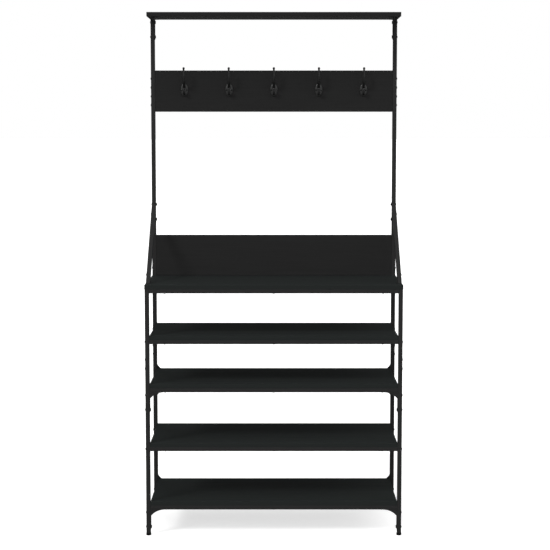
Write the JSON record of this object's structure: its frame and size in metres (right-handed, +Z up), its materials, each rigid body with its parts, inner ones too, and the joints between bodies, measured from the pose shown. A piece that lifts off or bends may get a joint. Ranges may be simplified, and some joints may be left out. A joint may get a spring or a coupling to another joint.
{
  "type": "hall tree with hooks",
  "caption": "Black steel tube and board hall tree: shoe shelves, console board, back panel, side braces, coat hooks on a panel, a top board and levelling feet.",
  "frame": {"origin": "on the floor below the middle of the frame", "axes": "+X to the right seen from the front, the front faces -Y, +Z up"},
  "size_m": [0.9018, 0.3426, 1.839],
  "materials": {
    "steel": "satin black powder coat",
    "board": "matt black laminate with edge banding",
    "hook": "satin black paint on cast metal",
    "fastener": "black oxide",
    "plastic": "moulded matt black"
  },
  "bodies": {
    "frame": {"front_left_lower_post": "steel", "front_right_lower_post": "steel", "rear_left_lower_post": "steel", "rear_right_lower_post": "steel", "front_left_upper_post": "steel", "front_right_upper_post": "steel", "rear_left_middle_post": "steel", "rear_right_middle_post": "steel", "rear_left_upper_post": "steel", "rear_right_upper_post": "steel", "rear_left_top_post": "steel", "rear_right_top_post": "steel", "lower_splice_sleeves": "steel", "middle_splice_sleeves": "steel", "upper_splice_sleeves": "steel", "base_shelf_frame": "steel", "lower_shelf_frame": "steel", "middle_shelf_frame": "steel", "upper_shelf_frame": "steel", "console_frame": "steel", "base_front_gussets": "steel", "base_rear_gussets": "steel", "middle_front_gussets": "steel", "middle_rear_gussets": "steel", "base_shelf_board": "board", "lower_shelf_board": "board", "middle_shelf_board": "board", "upper_shelf_board": "board", "console_board": "board", "top_shelf_board": "board", "back_panel": "board", "hook_panel": "board", "left_top_bracket": "steel", "right_top_bracket": "steel", "left_brace": "steel", "right_brace": "steel", "brace_foot_plates": "steel", "brace_head_plates": "steel", "coat_hook_1": "hook", "coat_hook_2": "hook", "coat_hook_3": "hook", "coat_hook_4": "hook", "coat_hook_5": "hook", "hook_screws": "fastener", "foot_inserts": "plastic", "post_top_plugs": "plastic", "shelf_bolts": "fastener", "gusset_bolts": "fastener", "splice_bolts": "fastener", "panel_bolts": "fastener", "brace_bolts": "fastener", "bracket_bolts": "fastener", "weld_nuts": "fastener", "barrel_nuts": "fastener", "board_screws": "fastener"},
    "front_left_foot_body": {"front_left_foot": "plastic"},
    "front_right_foot_body": {"front_right_foot": "plastic"},
    "rear_left_foot_body": {"rear_left_foot": "plastic"},
    "rear_right_foot_body": {"rear_right_foot": "plastic"}
  },
  "joints": [
    {"name": "front_left_foot_adjust", "type": "slide", "parent": "frame", "child": "front_left_foot_body", "axis": [0, 0, -1], "range_m": [0, 0.01]},
    {"name": "front_right_foot_adjust", "type": "slide", "parent": "frame", "child": "front_right_foot_body", "axis": [0, 0, -1], "range_m": [0, 0.01]},
    {"name": "rear_left_foot_adjust", "type": "slide", "parent": "frame", "child": "rear_left_foot_body", "axis": [0, 0, -1], "range_m": [0, 0.01]},
    {"name": "rear_right_foot_adjust", "type": "slide", "parent": "frame", "child": "rear_right_foot_body", "axis": [0, 0, -1], "range_m": [0, 0.01]}
  ]
}
